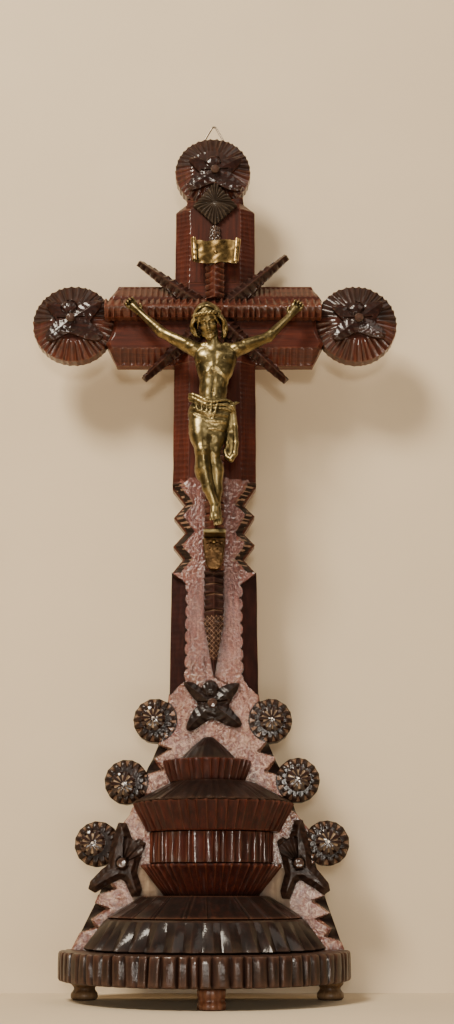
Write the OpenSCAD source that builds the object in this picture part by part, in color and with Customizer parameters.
// Altar cross: chip-carved mahogany cross on a half-round stepped pedestal,
// with a cast brass corpus and a wire hanging loop.
// Millimetres, +Z up, front of the cross toward -Y, left is -X, origin at the
// middle of the underside of its bounding box. Most pieces are drawn in the
// frame of front(): x, then z, then height forward of the back of the boards.

/* [Boards] */
// Thickness of upright and cross arm
board_t = 12; // [9:0.5:16]
// Width of the upright
beam_w = 48; // [40:1:60]
// Width of the cross arm
arm_w = 51.2; // [44:0.4:60]
// Width of the bevel along the edges of the boards
bevel_w = 8.5; // [5:0.5:11]
// Depth of the bevel at the edge
bevel_d = 6; // [3:0.5:8]
// Height of the middle of the cross arm
arm_z = 378.6; // [370:0.2:386]

/* [Discs] */
// Radius of the two side discs
disc_r = 24.3; // [22:0.1:26]
// Radius of the top disc
disc_top_r = 23.2; // [21:0.1:25]
// Height of the straight side wall of a disc
disc_wall = 8.4; // [5:0.2:9]
// Distance of the side discs from the middle
disc_x = 84.3; // [83:0.1:90]
// Height of the side discs
disc_side_z = 379.2; // [374:0.2:384]
// Height of the top disc
disc_top_z = 480.6; // [476:0.2:484]
// Sideways offset of the top disc, set by hand on the real piece
disc_top_x = -1.5; // [-3:0.5:0]
// Number of flutes round a disc
disc_flutes = 38; // [20:1:48]

/* [Inner cross] */
// Width of the inner cross bars
inner_w = 12; // [9:0.5:14]
// Height of the middle of the inner bar
inner_z = 385; // [380:1:390]
// Rise of the inner cross at its ridge
inner_t = 9; // [6:0.5:12]

/* [Pedestal] */
// Radius of the base slab
slab_r = 75.2; // [65:0.2:85]
// Thickness of the base slab
slab_t = 14.5; // [12:0.5:18]
// Number of scallops round the half-round rim
slab_flutes = 34; // [20:1:44]
// Number of grooves in the lower step
lower_step_flutes = 19; // [12:1:26]
// Number of grooves in the upper step
upper_step_flutes = 17; // [12:1:24]
// Number of flutes round a cup
cup_flutes = 24; // [14:1:30]

/* [Feet] */
// Sideways offset of slab and steps, set by hand on the real piece
base_dx = -4.4; // [-6:0.2:0]
// Foot diameter
foot_d = 14; // [11:0.5:17]
// Foot height
foot_h = 10; // [8:0.5:12]
// Distance of the rear feet from the middle
foot_x = 62; // [50:1:66]

/* [Hanger] */
// Wire radius of the hanging loop
wire_r = 0.62; // [0.5:0.02:0.7]
// Radius of the hole in the rolled eye
eye_hole = 0.82; // [0.75:0.01:0.9]

/* [Hidden] */
back_y = 42;                 // y of the back of the boards
front_y = back_y - board_t;  // y of their front faces
beam_half = beam_w / 2;
arm_half = arm_w / 2;
slab_bottom = foot_h;
slab_top = foot_h + slab_t;

part_gap = 0.06;  // round discs, dowels and the inner cross
lap_gap = 0.03;   // round the half-lap of the boards
pin_gap = 0.04;   // round pins, nails and screws, and under nail heads
end_gap = 0.1;    // behind the buried end of a pin

wood = [0.30, 0.11, 0.07];
wood_dark = [0.17, 0.08, 0.06];
wood_red = [0.42, 0.15, 0.08];
wood_tan = [0.50, 0.33, 0.18];
brass = [0.62, 0.50, 0.26];
steel = [0.55, 0.55, 0.55];

// ---------- fasteners: radii, buried ends and places [x, z] ----------
dowel_r = 1.9;
dowel_h = 3.4;           // height of the dowel axes
top_dowel_z = 444;       // lower end of the top dowel
side_dowel_x = 52;       // inner ends of the side dowels
peg_r = 2;
peg_start = 4;
disc_stars = [[0, 477], [-85, 378.8], [85, 378.8]];  // top, left, right
board_star = [-0.7, 152];
flank_stars = [[45, 68], [-48, 68]];                 // right, left
rosette_pin_r = 0.6;
rosette_pin_start = 6;
rosette_hole_r = 0.63;
// right side from the top down, then left side
rosettes = [[31.5, 144], [45.5, 112], [61, 79],
            [-33, 144.5], [-48.5, 109], [-64, 78.5]];
keystone_pin_r = 0.8;
keystone_pin_start = 4;
keystone_pin_at = [3.9, 451.5];
brad_r = 0.7;
brad_start = 2;
upright_brads = [[0, 412.5], [0, 316], [0, 205]];
bar_brads = [[-30, inner_z], [30, inner_z]];
slab_screw_r = 1.6;
slab_screw_x = 30;
pedestal_screw_r = 1.7;
pedestal_screw_z = [32, 46, 76, 91.5];
foot_screw_r = 1.5;
strap_screw_r = 0.9;
strap_screw_z = [489.9, 484.5];
hanger_x = -1;           // the strap sits a little off the middle

nail_r = 0.8;
plate_nail_r = 0.7;
hand_nail_start = 8;
hand_head_h = 27.4;
foot_head_h = 37.6;
plaque_nail = [0.6, 419.5];
foot_nail = [0.6, 253.4];
plate_nails = [[0, 240.6], [0, 229.6]];
hand_nails = [[-47.6, 382.6], [47.2, 380.8]];
plaque_t = 1.4;
plate_t = 4.6;
plate_tab_t = 3.6;
brass_back = board_t + inner_t + 0.05;  // back of the brass, on the inner ridge
head_gap = 0.05;         // between a nail head and flat brass
// nails into the inner upright: place, shank radius, height under head, head radius
upright_nails = [
  [plaque_nail, nail_r, brass_back + plaque_t + head_gap, 1.5],
  [foot_nail, nail_r, foot_head_h, 1.4],
  [plate_nails[0], plate_nail_r, brass_back + plate_t + head_gap, 1.3],
  [plate_nails[1], plate_nail_r, brass_back + plate_tab_t + head_gap, 1.3]];

// ---------- frame and fastener shapes ----------
// local (x, z, height forward) -> world
module front() { translate([0, back_y, 0]) rotate([90, 0, 0]) children(); }

// pin or pin hole at place, running forward from height start
module rod(place, start, r, length = 20, sides = 16)
  translate([place.x, place.y, start]) cylinder(r = r, h = length, $fn = sides);
module peg_hole(place) rod(place, peg_start-end_gap, peg_r+pin_gap, sides = 24);
module brad_hole(place, length = 20)
  rod(place, brad_start-end_gap, brad_r+pin_gap, length);
module hand_nail_hole(place, length = 20)
  rod(place, hand_nail_start-end_gap, nail_r+pin_gap, length);

// extend moves the inner end of a dowel toward the middle of the cross
module top_dowel(r, length, extend = 0)
  translate([0, top_dowel_z-extend, dowel_h]) rotate([-90, 0, 0])
    cylinder(r = r, h = length, $fn = 32);
module side_dowel(side, r, length, extend = 0)
  translate([side*(side_dowel_x-extend), disc_side_z, dowel_h]) rotate([0, side*90, 0])
    cylinder(r = r, h = length, $fn = 32);

// countersunk screw and its hole, head at the origin
module screw(head_r, shank_r, length, sides) {
  cylinder(r1 = head_r, r2 = shank_r, h = 2.2, $fn = sides);
  cylinder(r = shank_r, h = length, $fn = sides);
}
module screw_hole(head_r, shank_r, sink, length, sides) {
  translate([0, 0, -1]) cylinder(r = shank_r, h = length, $fn = sides);
  translate([0, 0, -0.02]) cylinder(r1 = head_r, r2 = shank_r, h = sink, $fn = sides);
}
module pedestal_screw_holes() for (z = pedestal_screw_z) translate([0, z, 0])
  screw_hole(3.7, pedestal_screw_r+pin_gap, sink = 2.4, length = 37, sides = 20);

// ---------- lofted bodies ----------
// n points in a ring, m rings
function side_faces(n, m) = concat(
  [for (k = [0:m-2]) for (i = [0:n-1]) [k*n+i, (k+1)*n+i, (k+1)*n+(i+1)%n]],
  [for (k = [0:m-2]) for (i = [0:n-1]) [k*n+i, (k+1)*n+(i+1)%n, k*n+(i+1)%n]]);

// closed rings, counter-clockwise seen from above, capped as fans on two centre points
module loft(rings, start_centre, end_centre) {
  n = len(rings[0]);
  m = len(rings);
  polyhedron(
    points = concat([for (r = rings) for (p = r) p], [start_centre, end_centre]),
    faces = concat(side_faces(n, m),
      [for (i = [0:n-1]) [m*n, i, (i+1)%n]],
      [for (i = [0:n-1]) [m*n+1, (m-1)*n+(i+1)%n, (m-1)*n+i]]));
}

// rings whose first point sees the whole ring (half rounds)
module half_loft(rings) {
  n = len(rings[0]);
  m = len(rings);
  polyhedron(points = [for (r = rings) for (p = r) p],
    faces = concat(side_faces(n, m),
      [for (i = [1:n-2]) [0, i, i+1]],
      [for (i = [1:n-2]) [(m-1)*n, (m-1)*n+i+1, (m-1)*n+i]]));
}

function pick(i, even, odd) = i % 2 == 0 ? even : odd;
// fluted ring: crests and grooves take turns
function ring(flutes, crest_r, groove_r, crest_z, groove_z) =
  [for (i = [0:2*flutes-1])
    let (angle = 180*i/flutes, r = pick(i, crest_r, groove_r))
      [r*cos(angle), r*sin(angle), pick(i, crest_z, groove_z)]];
// centre on the flat back, then the front half from left to right
function half_ring(flutes, crest_r, groove_r, z = 0) = concat([[0, 0, z]],
  [for (i = [0:2*flutes])
    let (angle = 180 + 90*i/flutes, r = pick(i, crest_r, groove_r))
      [r*cos(angle), r*sin(angle), z]]);
function flat(points) = [for (p = points) [p.x, p.y]];

// half-round fluted tier against the board face; each pair is [bottom, top]
module tier(flutes, z, r, groove, dx = 0)
  translate([dx, front_y, 0])
    half_loft([for (i = [0, 1]) half_ring(flutes, r[i], r[i]-groove[i], z[i])]);

// ridged bar along +x with notched edges, tapering in width
module ridge_bar(length, start_w, end_w, notches, bite, side_h, rise) {
  stations = 2*notches + 1;
  rings = [for (i = [0:stations-1])
    let (t = i/(stations-1),
         half_w = (start_w + (end_w-start_w)*t)/2,
         notch = pick(i, 0, bite)*(half_w/(start_w/2)),
         edge = half_w-notch,
         edge_h = side_h - pick(i, 0, 0.8))
      [[t*length, -edge, 0], [t*length, edge, 0], [t*length, edge, edge_h],
       [t*length, 0, rise], [t*length, -edge, edge_h]]];
  loft(rings, [0, 0, side_h/2], [length, 0, side_h/2]);
}

// ---------- boards ----------
arm_half_len = 64.5;
// right edge of the upright from the foot upward, [x, z]
right_edge = [
  [68.5, slab_top], [59.5, 50], [54.5, 68], [52, 84], [45, 93], [41, 104],
  [36, 118], [33.3, 123], [27, 138], [24.5, 159], [24, 226], [16.8, 234],
  [23, 243], [16.8, 249.5], [23, 260], [16.8, 266], [24, 277], [24, 453.5],
  [17.5, 459], [17, 464]];
// the left edge mirrors it downward, wider at its two lowest points
left_edge = [for (i = [len(right_edge)-1:-1:0])
  [-right_edge[i].x - (i == 0 ? 5.5 : i == 1 ? 2 : 0), right_edge[i].y]];
// round lobes behind the rosettes, [x, z]
lobes = [[31, 143.5], [45.5, 111.5], [60.5, 78.5],
         [-32, 143.5], [-47, 110.5], [-62, 78]];
lobe_r = 11.9;
lobe_wall = 8.5;
// chips cut in the sloping edges, right side [x, z, angle]
chips = [[29, 127, -18], [38.2, 124, -20], [52, 92, -22],
         [56.6, 61, -20], [60.8, 48, -20], [64.6, 37, -20]];

// profile across a bevelled bar, thickness up
function bar_profile(half_w) = [[-half_w, 0], [half_w, 0],
  [half_w, board_t-bevel_d], [half_w-bevel_w, board_t],
  [-half_w+bevel_w, board_t], [-half_w, board_t-bevel_d]];

// cutter for the bevel along one side edge of the upright
module edge_bevel(bottom, top, side)
  translate([0, bottom, 0]) rotate([-90, 0, 0]) linear_extrude(top - bottom)
    polygon([
      [side*(beam_half-bevel_w), -board_t],
      [side*beam_half, -(board_t-bevel_d)],
      [side*(beam_half+2), -(board_t-bevel_d)],
      [side*(beam_half+2), -board_t-1],
      [side*(beam_half-bevel_w), -board_t-1]]);

module lobe(place) {
  translate([place.x, place.y, 0]) cylinder(r = lobe_r, h = lobe_wall, $fn = 64);
  translate([place.x, place.y, lobe_wall])
    cylinder(r1 = lobe_r, r2 = 8.8, h = board_t-lobe_wall, $fn = 64);
}

module upright_board() color(wood) front() difference() {
  union() {
    linear_extrude(board_t) polygon(concat(right_edge, left_edge));
    for (place = lobes) lobe(place);
  }
  for (side = [-1, 1]) {
    edge_bevel(280, 470, side);
    edge_bevel(162, 223, side);
    for (c = chips)
      translate([side*c.x, c.y, board_t/2]) rotate([0, 0, side*c.z])
        rotate([0, 0, 45]) cube([4.5, 4.5, board_t+2], center = true);
    // row of diamond notches along the inner edge of the lower bevel
    for (k = [0:7])
      translate([side*15.6, 168 + 7.2*k, board_t]) rotate([0, 0, 45])
        cube([2.6, 2.6, 2.4], center = true);
  }
  // front half of the half-lap
  translate([-beam_half-lap_gap, arm_z-arm_half-lap_gap, board_t/2])
    cube([beam_w+2*lap_gap, arm_w+2*lap_gap, board_t]);
  // seat for the top disc and its dowel
  rod([disc_top_x, disc_top_z], -1, disc_top_r+part_gap, board_t+2, 96);
  top_dowel(dowel_r+part_gap, 22, extend = 0.5);
  // holes for screws, pegs and pins
  for (side = [-1, 1])
    translate([side*slab_screw_x, slab_top-1, board_t/2]) rotate([-90, 0, 0])
      cylinder(r = slab_screw_r+pin_gap, h = 27, $fn = 24);
  pedestal_screw_holes();
  peg_hole(board_star);
  for (place = flank_stars) peg_hole(place);
  for (place = rosettes) rod(place, rosette_pin_start-end_gap, rosette_hole_r);
  rod(keystone_pin_at, keystone_pin_start-end_gap, keystone_pin_r+pin_gap);
  for (place = upright_brads) brad_hole(place);
}

module cross_arm() color(wood) front() difference() {
  union() {
    translate([-arm_half_len, arm_z, 0]) rotate([90, 0, 90])
      linear_extrude(2*arm_half_len) polygon(bar_profile(arm_half));
    // over the lap the bevels of the upright run on
    intersection() {
      translate([0, arm_z-arm_half, 0]) rotate([-90, 0, 0]) linear_extrude(arm_w)
        polygon([for (p = bar_profile(beam_half)) [p.x, -p.y]]);
      translate([-beam_half, arm_z-arm_half, board_t/2])
        cube([beam_w, arm_w, board_t]);
    }
  }
  // back half of the half-lap
  translate([-beam_half-lap_gap, arm_z-arm_half-1, -1])
    cube([beam_w+2*lap_gap, arm_w+2, 1+board_t/2]);
  for (side = [-1, 1]) {
    // clipped corners
    for (end = [-1, 1]) translate([0, arm_z, -1]) linear_extrude(board_t+2)
      polygon([[side*57.5, end*(arm_half+1)], [side*66, end*(arm_half+1)],
        [side*66, end*(arm_half-16)]]);
    rod([side*disc_x, disc_side_z], -1, disc_r+part_gap, board_t+2, 96);
    side_dowel(side, dowel_r+part_gap, 22, extend = 0.5);
  }
  for (place = bar_brads) brad_hole(place);
  for (place = hand_nails) hand_nail_hole(place);
}

// ---------- discs ----------
module disc_body(r) {
  groove_r = r-0.8;
  loft([
    ring(disc_flutes, r-0.4, r-0.4, 0, 0),
    ring(disc_flutes, r, groove_r, 0.8, 0.8),
    ring(disc_flutes, r, groove_r, disc_wall, disc_wall-0.6),
    ring(disc_flutes, 15, 15, board_t, board_t-0.7),
    ring(disc_flutes, 14, 14, board_t, board_t)],
    [0, 0, 0], [0, 0, board_t]);
}

// disc with the peg hole of its star
module disc(centre, star_place, r) difference() {
  translate([centre.x, centre.y, 0]) disc_body(r);
  peg_hole(star_place);
}

module side_disc(side, star_place) front() difference() {
  disc([side*disc_x, disc_side_z], star_place, disc_r);
  side_dowel(side, dowel_r+part_gap, 21, extend = 0.5);
}

module disc_top() color(wood) front() difference() {
  disc([disc_top_x, disc_top_z], disc_stars[0], disc_top_r);
  top_dowel(dowel_r+part_gap, 21, extend = 0.5);
  for (z = strap_screw_z) rod([hanger_x, z], -1, strap_screw_r+pin_gap, 9);
}
module disc_left() color(wood) side_disc(-1, disc_stars[1]);
module disc_right() color(wood) side_disc(1, disc_stars[2]);

module disc_dowels() color(wood_tan) front() {
  top_dowel(dowel_r, 20);
  for (side = [-1, 1]) side_dowel(side, dowel_r, 20);
}

// ---------- stars ----------
star_t = 5;

// blunt arm from near the centre out to tip
function star_arm(tip, w, swell) =
  let (along = tip/norm(tip), across = [-along.y, along.x])
    [tip*0.62 - across*(w+0.5)*swell, tip*0.92 - across*w*swell,
     tip + along*0.6*swell,
     tip*0.92 + across*w*swell, tip*0.62 + across*(w+0.5)*swell];
function lift(points, z) = [for (p = points) [p.x, p.y, z]];

// four arms and a round petal between the upper two. tips: right-up, left-up,
// left-down, right-down. reach scales lengths, swell scales widths, and
// arm_z, waist_z and petal_z are the heights of this ring.
function star_ring(tips, w, petal, reach, swell, tip_z, waist_z, petal_z) =
  let (arms = [for (tip = tips) lift(star_arm(tip*reach, w, swell), tip_z)])
    concat(
      [[swell*5.6, swell*0.2, waist_z]],
      arms[0],
      [for (a = [10:32:170])
        [petal*swell*cos(a), reach*7.2 + petal*swell*sin(a), petal_z]],
      arms[1],
      [[-swell*5.6, swell*0.2, waist_z]],
      arms[2],
      [[0, -swell*5.2, waist_z]],
      arms[3]);

module star_peg_hole() rod([0, 0], -1, peg_r+pin_gap, 8, 24);

module star(place, tips, w = 3.9, petal = 4.6)
  front() translate([place.x, place.y, board_t]) difference() {
    loft([
      star_ring(tips, w, petal, 0.97, 0.9, 0, 0, 0),
      star_ring(tips, w, petal, 1, 1, 2.4, 1.8, 2.4),
      star_ring(tips, w*0.62, petal*0.8, 0.93, 0.8, 4.4, 3.4, 4.2),
      star_ring(tips, 0.9, petal*0.3, 0.3, 0.5, star_t, star_t, star_t)],
      [0, 0, 0], [0, 0, star_t]);
    star_peg_hole();
  }

module star_top() color(wood_dark)
  star(disc_stars[0], [[15.3, 9.6], [-15.3, 9.6], [-15.3, -10.4], [15.3, -10.4]]);
module star_left() color(wood_dark)
  star(disc_stars[1], [[16.8, 11.8], [-14.6, 11.4], [-13.2, -11.6], [17.6, -10.6]]);
module star_right() color(wood_dark)
  star(disc_stars[2], [[14.2, 11.4], [-14.9, 9.6], [-13.8, -11.2], [15, -9.4]]);
module star_board() color(wood_dark)
  star(board_star, [[14.7, 11.6], [-15.8, 12.6], [-13.4, -14], [15.6, -11.2]],
    w = 4, petal = 4.8);

// right flank star, [x, z] counter-clockwise: one long upper arm, a shorter
// lobe toward the middle, two legs
flank_rim = [
  [6, -1], [5.6, 6], [3.9, 14], [1.7, 22], [-0.9, 21.6], [-3.2, 14],
  [-5.5, 11.2], [-8.2, 12.6], [-10.4, 11.2], [-7.4, 1], [-6.2, -5],
  [-8.8, -14.2], [-8.2, -17.2], [-5.4, -17.6], [-2.2, -9.5], [1, -7.5],
  [8, -11.4], [13.2, -15.2], [15.6, -13.6], [14.8, -10.4], [9.2, -3.8]];
flank_rim_left = [for (i = [len(flank_rim)-1:-1:0])
  [-flank_rim[i].x*1.08, flank_rim[i].y*0.93]];

module flank_star(place, rim)
  front() translate([place.x, place.y, board_t]) difference() {
    loft([lift(rim*0.95, 0), lift(rim, 2.2), lift(rim*0.86, 4), lift(rim*0.34, star_t)],
      [0, 0, 0], [0, 0, star_t]);
    star_peg_hole();
  }
module star_flank_right() color(wood_dark) flank_star(flank_stars[0], flank_rim);
module star_flank_left() color(wood_dark) flank_star(flank_stars[1], flank_rim_left);

module star_pegs() color(wood) front()
  for (p = concat(disc_stars, [board_star], flank_stars)) translate([p.x, p.y, 0])
    rotate_extrude($fn = 24) polygon([
      [0, peg_start], [peg_r, peg_start], [peg_r, board_t+star_t],
      [2.6, board_t+star_t], [2.6, board_t+6.6], [2, board_t+7.4], [0, board_t+7.6]]);

// ---------- keystone ----------
module keystone() color(wood_dark) front() difference() {
  translate([0, 456, board_t]) loft([
    [[13.4, -1.6, 0], [0, 14.6, 0], [-13.4, -1.6, 0], [0, -15, 0]],
    [[13.0, -1.6, 1.8], [0, 14.2, 1.6], [-13.0, -1.6, 1.8], [0, -14.6, 1.8]],
    [[4, 0, 4.4], [0, 6, 4.2], [-4, 0, 4.4], [0, -6, 4.4]]],
    [0, 0, 0], [0, 0, 4.6]);
  rod(keystone_pin_at, board_t-1, keystone_pin_r+pin_gap);
}
module keystone_pin() color(steel) front()
  rod(keystone_pin_at, keystone_pin_start, keystone_pin_r,
    board_t-keystone_pin_start+2.2);

// ---------- rays ----------
ray_z = 382;  // height where the four rays meet

// ray from the crossing out to tip, cut clear of the inner cross
module ray(tip, w) front() difference() {
  translate([0, ray_z, board_t]) rotate([0, 0, atan2(tip.y-ray_z, tip.x)])
    ridge_bar(norm([tip.x, tip.y-ray_z]), w, 1.6, notches = 11, bite = 1.3,
      side_h = 3.4, rise = 6.2);
  translate([-inner_w/2-part_gap, 300, board_t-1])
    cube([inner_w+2*part_gap, 200, 30]);
  translate([-100, inner_z-inner_w/2-part_gap, board_t-1])
    cube([200, inner_w+2*part_gap, 30]);
}
module ray_upper_left() color(wood_dark) ray([-46, 417], 14);
module ray_upper_right() color(wood_dark) ray([43.5, 421], 14);
module ray_lower_left() color(wood_dark) ray([-41.5, 341.6], 13);
module ray_lower_right() color(wood_dark) ray([42, 340.5], 13);

// ---------- inner cross ----------
inner_bottom = 194;  // where the spike begins
inner_top = 424;     // where the low top end begins
spike_z = 168;       // point of the spike
inner_lap = 4.5;     // height of the lap of bar over upright

module inner_bar() color(wood_red) front() difference() {
  translate([-65, inner_z, board_t])
    ridge_bar(128, inner_w, inner_w, notches = 32, bite = 0.7, side_h = 6,
      rise = inner_t);
  translate([-inner_w/2-part_gap, inner_z-20, board_t-1])
    cube([inner_w+2*part_gap, 40, 1+inner_lap+0.02]);
  for (place = bar_brads) brad_hole(place, 40);
  for (place = hand_nails) hand_nail_hole(place, 40);
}

module inner_upright() color(wood_red) front() difference() {
  union() {
    translate([0, inner_bottom, board_t]) rotate([0, 0, 90])
      ridge_bar(inner_top-inner_bottom, inner_w-0.6, inner_w-0.6, notches = 56,
        bite = 0.6, side_h = 6, rise = inner_t);
    translate([0, inner_bottom+0.5, board_t]) rotate([0, 0, -90])
      ridge_bar(inner_bottom+0.5-spike_z, inner_w-1.4, 1, notches = 7,
        bite = 0.6, side_h = 5, rise = 7.5);
    translate([0, inner_top-0.5, board_t]) rotate([0, 0, 90])
      ridge_bar(20, 8, 6, notches = 6, bite = 0.6, side_h = 2, rise = 3.4);
  }
  translate([-20, inner_z-inner_w/2-part_gap, board_t+inner_lap-0.02])
    cube([40, inner_w+2*part_gap, 20]);
  for (place = upright_brads) brad_hole(place, 40);
  // square off the top end just below the keystone
  translate([-20, 440.6, board_t-1]) cube([40, 20, 20]);
  for (n = upright_nails) rod(n[0], board_t+3, n[1]+pin_gap);
}

module inner_brads() color(steel) front()
  for (place = concat(upright_brads, bar_brads))
    rod(place, brad_start, brad_r, board_t+6-brad_start);

// ---------- brass fittings ----------
plaque_z = 411.8;  // lower end of the rolled edges
roll_r = 1.7;

module title_plaque() color(brass) front() difference() {
  union() {
    translate([-11, 412.6, brass_back]) linear_extrude(plaque_t)
      polygon([[0, 0], [22, 0], [24, 14.4], [-1.2, 14]]);
    // rolled side edges, [x, length]
    for (roll = [[-11.6, 15], [12.4, 17]])
      translate([roll[0], plaque_z, brass_back+roll_r]) rotate([-90, 0, 0])
        cylinder(r = roll_r, h = roll[1], $fn = 20);
  }
  rod(plaque_nail, board_t, nail_r+pin_gap, 40);
}

ledge_z = 244.8;
ledge_half_t = 1.7;
module foot_ledge() color(brass) front() translate([0.4, ledge_z, brass_back]) union() {
  translate([-6, -ledge_half_t, 0]) cube([12, 2*ledge_half_t, 11.6]);
  translate([-4.4, -3.4, 0]) cube([8.8, 2, 4]);
}

module foot_plate() color(brass) front() difference() {
  union() {
    translate([0, 236.4, brass_back]) cylinder(r1 = 5, r2 = 4, h = plate_t, $fn = 28);
    translate([-3.4, 226, brass_back]) cube([6.8, 9, plate_tab_t]);
  }
  for (place = plate_nails) rod(place, board_t, plate_nail_r+pin_gap, 40);
}

module nail(place, start, r, under_head, head_r) translate([place.x, place.y, 0]) {
  translate([0, 0, start]) cylinder(r = r, h = under_head-start, $fn = 16);
  translate([0, 0, under_head-0.001])
    cylinder(r1 = head_r, r2 = head_r*0.6, h = 0.8, $fn = 16);
}
module brass_nails() color(brass) front() {
  for (n = upright_nails) nail(n[0], board_t+3.4, n[1], n[2], n[3]);
  for (place = hand_nails) nail(place, hand_nail_start, nail_r, hand_head_h, 1.3);
}

// ---------- corpus ----------
// joints are [x, z, height]; radii give [start, end] of each length between them
arm_radii = [[4.1, 3.2], [3.1, 2], [2, 2.3], [2, 1.2]];
left_arm = [[-12.5, 352, 34.5], [-30.6, 363.4, 31], [-43, 378, 26.6],
            [-48.2, 383.2, 25], [-51, 386.4, 25.4]];
right_arm = [[12.5, 351.4, 34.5], [31, 360.8, 31], [43, 375.6, 26.6],
             [47.8, 381.2, 25], [51.2, 384.2, 25.4]];
left_leg = [[-7.2, 306, 34.8], [-6.4, 282, 38.4], [-1.6, 259, 34.6]];
right_leg = [[4.4, 306, 34.8], [2.8, 284, 40], [1.8, 259.6, 33.4]];

module limb(start, end, start_r, end_r) hull() {
  translate(start) sphere(r = start_r, $fn = 14);
  translate(end) sphere(r = end_r, $fn = 14);
}
module limbs(joints, radii) for (i = [0:len(radii)-1])
  limb(joints[i], joints[i+1], radii[i][0], radii[i][1]);
module blob(centre, radii) translate(centre) scale(radii) sphere(r = 1, $fn = 20);

module trunk() {
  hull() {
    blob([-5.5, 344, 36.5], [7.4, 9, 6]);
    blob([5, 344, 36.5], [7.4, 9, 6]);
    blob([-0.7, 330, 36], [8.8, 7, 5.6]);
  }
  hull() {
    blob([-0.7, 330, 36], [8.6, 7, 5.4]);
    blob([-1.6, 314, 34.5], [10.4, 6, 6]);
  }
  blob([-0.6, 320, 37], [7, 9, 5]);
}
module head() {
  limb([-1.4, 350, 37], [-3.6, 357, 39.5], 4, 3.8);  // neck
  blob([-4.6, 363, 41.4], [6.4, 8.4, 7.4]);
  // hair, with a lock down each side
  blob([-4.4, 366.6, 40], [9.4, 8.4, 7.6]);
  limb([-11.6, 364.6, 38.6], [-11.6, 351.4, 38.2], 3.2, 2.2);
  limb([2.6, 364.6, 38.6], [4.6, 350.6, 38.2], 3.2, 2.2);
  // nose and beard
  limb([-4.7, 364.4, 48], [-4.9, 361, 49.4], 0.9, 1.1);
  blob([-5, 355.4, 44], [4.2, 5, 4.2]);
}
module loincloth() {
  hull() {
    blob([-8, 311, 34.5], [7, 5.6, 7]);
    blob([5, 311, 34.5], [6.6, 5.6, 7]);
    blob([-2, 304, 35.4], [9.6, 6, 6.6]);
  }
  // knot and hanging end
  blob([10.8, 314, 34.4], [3.4, 4.6, 4]);
  limb([9.4, 311, 35], [9.2, 288, 34.4], 2.8, 2.2);
}
module legs() {
  limbs(left_leg, [[6.2, 4.6], [4.5, 2.6]]);
  limbs(right_leg, [[6, 4.6], [4.3, 2.6]]);
  // feet
  limb([-1.4, 258.6, 34.4], [0.6, 249.6, 35.2], 2.6, 2.4);
  limb([1.6, 259, 32.6], [0.8, 250, 31.8], 2.6, 2.2);
}

// flat seat cut under a nail head
module head_seat(place, under_head, half_w)
  translate([place.x-half_w, place.y-half_w, under_head-pin_gap])
    cube([2*half_w, 2*half_w, 6]);

module corpus() color(brass) front() difference() {
  union() {
    limbs(left_arm, arm_radii);
    limbs(right_arm, arm_radii);
    trunk();
    head();
    loincloth();
    legs();
  }
  for (place = concat(hand_nails, [foot_nail])) rod(place, board_t, nail_r+pin_gap, 40);
  for (place = hand_nails) head_seat(place, hand_head_h, 1.6);
  head_seat(foot_nail, foot_head_h, 1.8);
  // clear the top of the foot ledge
  translate([-20, 240, 0]) cube([40, ledge_z+ledge_half_t+0.12-240, 60]);
  // flat back
  translate([-80, 240, 0]) cube([160, 180, brass_back]);
}

// ---------- pedestal ----------
// top heights of the pieces, from the slab upward
lower_step_top = 40;
upper_step_top = 51.5;
lower_cup_top = 67.5;
band_top = 84;
upper_cup_top = 99;
shoulder_top = 110;
small_cup_top = 121.5;

module pedestal_screws() color(steel) front()
  for (z = pedestal_screw_z) translate([0, z, 0])
    screw(3.6, pedestal_screw_r, length = 35, sides = 20);

module pedestal_lower_step() color(wood_dark) difference() {
  tier(lower_step_flutes, z = [slab_top, lower_step_top], r = [63, 52],
    groove = [4.6, 1.6], dx = base_dx);
  front() pedestal_screw_holes();
}
module pedestal_upper_step() color(wood_dark) difference() {
  tier(upper_step_flutes, z = [lower_step_top, upper_step_top], r = [51.4, 33],
    groove = [4.2, 1.2], dx = base_dx);
  front() pedestal_screw_holes();
}
module pedestal_lower_cup() color(wood_red)
  tier(cup_flutes, z = [upper_step_top, lower_cup_top], r = [25, 37.2],
    groove = [1.2, 2.2], dx = -1);
module pedestal_band() color(wood_red) difference() {
  translate([-1, front_y, lower_cup_top]) linear_extrude(band_top-lower_cup_top)
    polygon(flat(half_ring(cup_flutes, 32.6, 31.2)));
  front() pedestal_screw_holes();
}
module pedestal_upper_cup() color(wood_red) difference() {
  tier(cup_flutes, z = [band_top, upper_cup_top], r = [35.5, 43], groove = [1.6, 2.2]);
  front() pedestal_screw_holes();
}
module pedestal_shoulder() color(wood)
  tier(cup_flutes, z = [upper_cup_top, shoulder_top], r = [43, 22],
    groove = [2.2, 1], dx = -0.5);
module pedestal_small_cup() color(wood)
  tier(16, z = [shoulder_top, small_cup_top], r = [20.3, 24.2],
    groove = [1, 1.5], dx = -3.4);
module pedestal_cap() color(wood_dark) translate([-2.8, front_y, small_cup_top])
  rotate_extrude(angle = 180, start = 180, $fn = 64)
    polygon([[0, 0], [15.3, 0], [14.6, 1.4], [2.6, 12.4], [0, 13]]);

// ---------- base ----------
foot_screw_z = 0.9;  // underside of the foot screw heads
// front, rear left, rear right, [x, y]
feet = [[0, back_y-74], [base_dx-foot_x, front_y], [foot_x-1.5, front_y]];

module slab_outline() translate([base_dx, 0]) {
  translate([0, front_y]) polygon(flat(half_ring(slab_flutes, slab_r, slab_r-1.5)));
  translate([-slab_r+0.4, front_y-0.01]) square([2*slab_r-0.8, board_t+0.01]);
}
module at_slab_screws() for (side = [-1, 1])
  translate([side*slab_screw_x, back_y-board_t/2, slab_bottom]) children();

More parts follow.
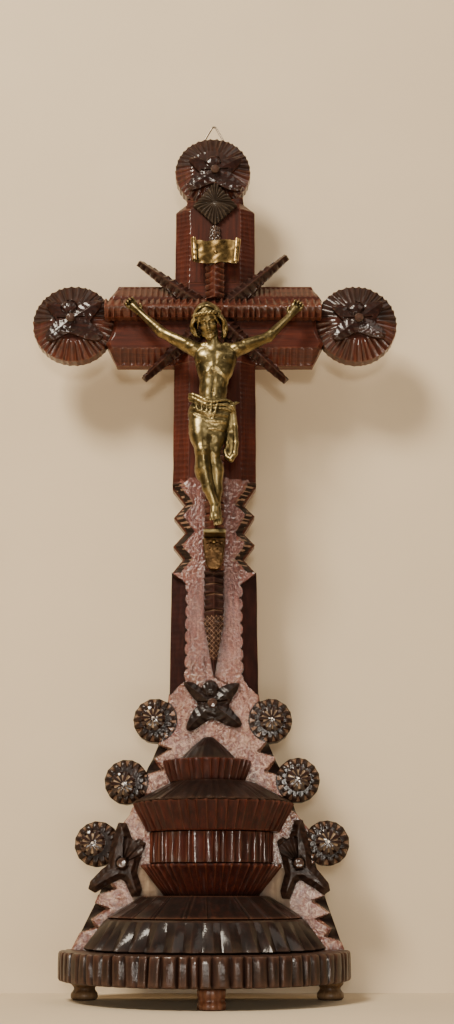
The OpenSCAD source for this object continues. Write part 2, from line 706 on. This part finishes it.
module base_slab() color(wood_dark) difference() {
  translate([0, 0, slab_bottom]) linear_extrude(slab_t) slab_outline();
  at_slab_screws()
    screw_hole(3.5, slab_screw_r+pin_gap, sink = 2.3, length = 30, sides = 24);
  for (place = feet) rod(place, slab_bottom-1, foot_screw_r+pin_gap, 11.2, 20);
}
module slab_screws() color(steel) at_slab_screws()
  screw(3.4, slab_screw_r, length = 40, sides = 24);

// turned foot with a waist of the given depth
module foot(place, waist) translate([place.x, place.y, 0]) difference() {
  r = foot_d/2;
  rotate_extrude($fn = 40) polygon([[0, 0], [r-1.2, 0], [r, 1.2], [r, 3.4],
    [r-waist, 4.6], [r-waist, 6.2], [r, 7.2], [r, foot_h-0.8],
    [r-0.8, foot_h], [0, foot_h]]);
  rod([0, 0], -1, foot_screw_r+pin_gap, 20, 20);
  rod([0, 0], -1, 3.1, 3.4, 24);
}
module foot_front() color(wood_tan) foot(feet[0], waist = 0.6);
module foot_rear_left() color(wood_tan) foot(feet[1], waist = 1.6);
module foot_rear_right() color(wood_tan) foot(feet[2], waist = 1.6);
module foot_screws() color(steel) for (place = feet) {
  rod(place, foot_screw_z, 3, 1.5, 24);
  rod(place, foot_screw_z, foot_screw_r, 19, 20);
}

// ---------- rosettes ----------
module rosette(place) front() translate([place.x, place.y, board_t]) difference() {
  loft([
    ring(11, 7.2, 7.2, 0, 0),
    ring(11, 7.4, 6.9, 1.6, 1.4),
    ring(11, 5.4, 5, 3.4, 2.2),
    ring(11, 1.8, 1.6, 3.7, 2.9)],
    [0, 0, 0], [0, 0, 3.4]);
  rod([0, 0], -1, rosette_hole_r, 10);
}
module rosette_top_right() color(wood_dark) rosette(rosettes[0]);
module rosette_middle_right() color(wood_dark) rosette(rosettes[1]);
module rosette_low_right() color(wood_dark) rosette(rosettes[2]);
module rosette_top_left() color(wood_dark) rosette(rosettes[3]);
module rosette_middle_left() color(wood_dark) rosette(rosettes[4]);
module rosette_low_left() color(wood_dark) rosette(rosettes[5]);
module rosette_pins() color(steel) front() for (place = rosettes)
  rod(place, rosette_pin_start, rosette_pin_r, board_t-rosette_pin_start+3.9);

// ---------- hanger ----------
strap_w = 8;
strap_t = 0.8;
eye_r = 1.6;
hinge_z = 496.5;
hinge_h = -eye_r;
loop_half = 12;
loop_rise = 21.4;

module hanger_strap() color(brass) front() difference() {
  union() {
    translate([hanger_x-strap_w/2, 481.5, -strap_t]) cube([strap_w, 14, strap_t]);
    translate([hanger_x-strap_w/2, hinge_z, hinge_h]) rotate([0, 90, 0])
      cylinder(r = eye_r, h = strap_w, $fn = 28);
  }
  translate([hanger_x-strap_w/2-1, hinge_z, hinge_h]) rotate([0, 90, 0])
    cylinder(r = eye_hole, h = strap_w+2, $fn = 28);
  for (z = strap_screw_z) rod([hanger_x, z], -3, strap_screw_r+pin_gap, 9);
}
module hanger_screws() color(steel) front()
  for (z = strap_screw_z) translate([hanger_x, z, 0]) {
    translate([0, 0, -1.5]) cylinder(r1 = 1.1, r2 = 1.6, h = 0.68, $fn = 20);
    translate([0, 0, -1.4]) cylinder(r = strap_screw_r, h = 9.2, $fn = 16);
  }

function unit(v) = v/norm(v);
function turned(v, a) = [v.x*cos(a) - v.y*sin(a), v.x*sin(a) + v.y*cos(a)];
// arc of radius r that rounds a vertex between unit directions before and after
function corner(vertex, before, after, r, steps) =
  let (angle = acos(before*after),
       start = vertex - before*r*tan(angle/2),
       centre = start + [-before.y, before.x]*r)
    [for (k = [0:steps]) centre + turned(start - centre, angle*k/steps)];

// rounded triangle, counter-clockwise, as [x, z] points
function loop_path() =
  let (left = [hanger_x-loop_half, hinge_z],
       right = [hanger_x+loop_half, hinge_z],
       top = [hanger_x, hinge_z + loop_rise + 1.9],
       base = unit(right-left),
       rising = unit(top-right),
       falling = unit(left-top))
    concat(corner(right, base, rising, 2, 5), corner(top, rising, falling, 1.6, 7),
      corner(left, falling, base, 2, 5));

module hanger_loop() color(steel) front() {
  path = loop_path();
  n = len(path);
  sides = 12;
  // wire sections stand on the mitre at each path point
  polyhedron(
    points = [for (i = [0:n-1])
      let (before = unit(path[i] - path[(i+n-1)%n]),
           after = unit(path[(i+1)%n] - path[i]),
           middle = unit(before + after),
           mitre = [middle.y, -middle.x]/(middle*before))
        for (j = [0:sides-1])
          let (shift = mitre*wire_r*cos(360*j/sides))
            [path[i].x + shift.x, path[i].y + shift.y,
             hinge_h + wire_r*sin(360*j/sides)]],
    faces = [for (i = [0:n-1]) for (j = [0:sides-1])
      let (a = i*sides, b = (i+1)%n*sides, k = (j+1)%sides)
        each [[a+j, a+k, b+k], [a+j, b+k, b+j]]]);
}

// ---------- assembly ----------
base_slab();
foot_front();
foot_rear_left();
foot_rear_right();
foot_screws();
slab_screws();
upright_board();
cross_arm();
disc_top();
disc_left();
disc_right();
disc_dowels();
star_top();
star_left();
star_right();
star_board();
star_flank_left();
star_flank_right();
star_pegs();
keystone();
keystone_pin();
ray_upper_left();
ray_upper_right();
ray_lower_left();
ray_lower_right();
inner_bar();
inner_upright();
inner_brads();
title_plaque();
corpus();
foot_ledge();
foot_plate();
brass_nails();
pedestal_cap();
pedestal_small_cup();
pedestal_shoulder();
pedestal_upper_cup();
pedestal_band();
pedestal_lower_cup();
pedestal_upper_step();
pedestal_lower_step();
pedestal_screws();
rosette_top_left();
rosette_top_right();
rosette_middle_left();
rosette_middle_right();
rosette_low_left();
rosette_low_right();
rosette_pins();
hanger_strap();
hanger_screws();
hanger_loop();
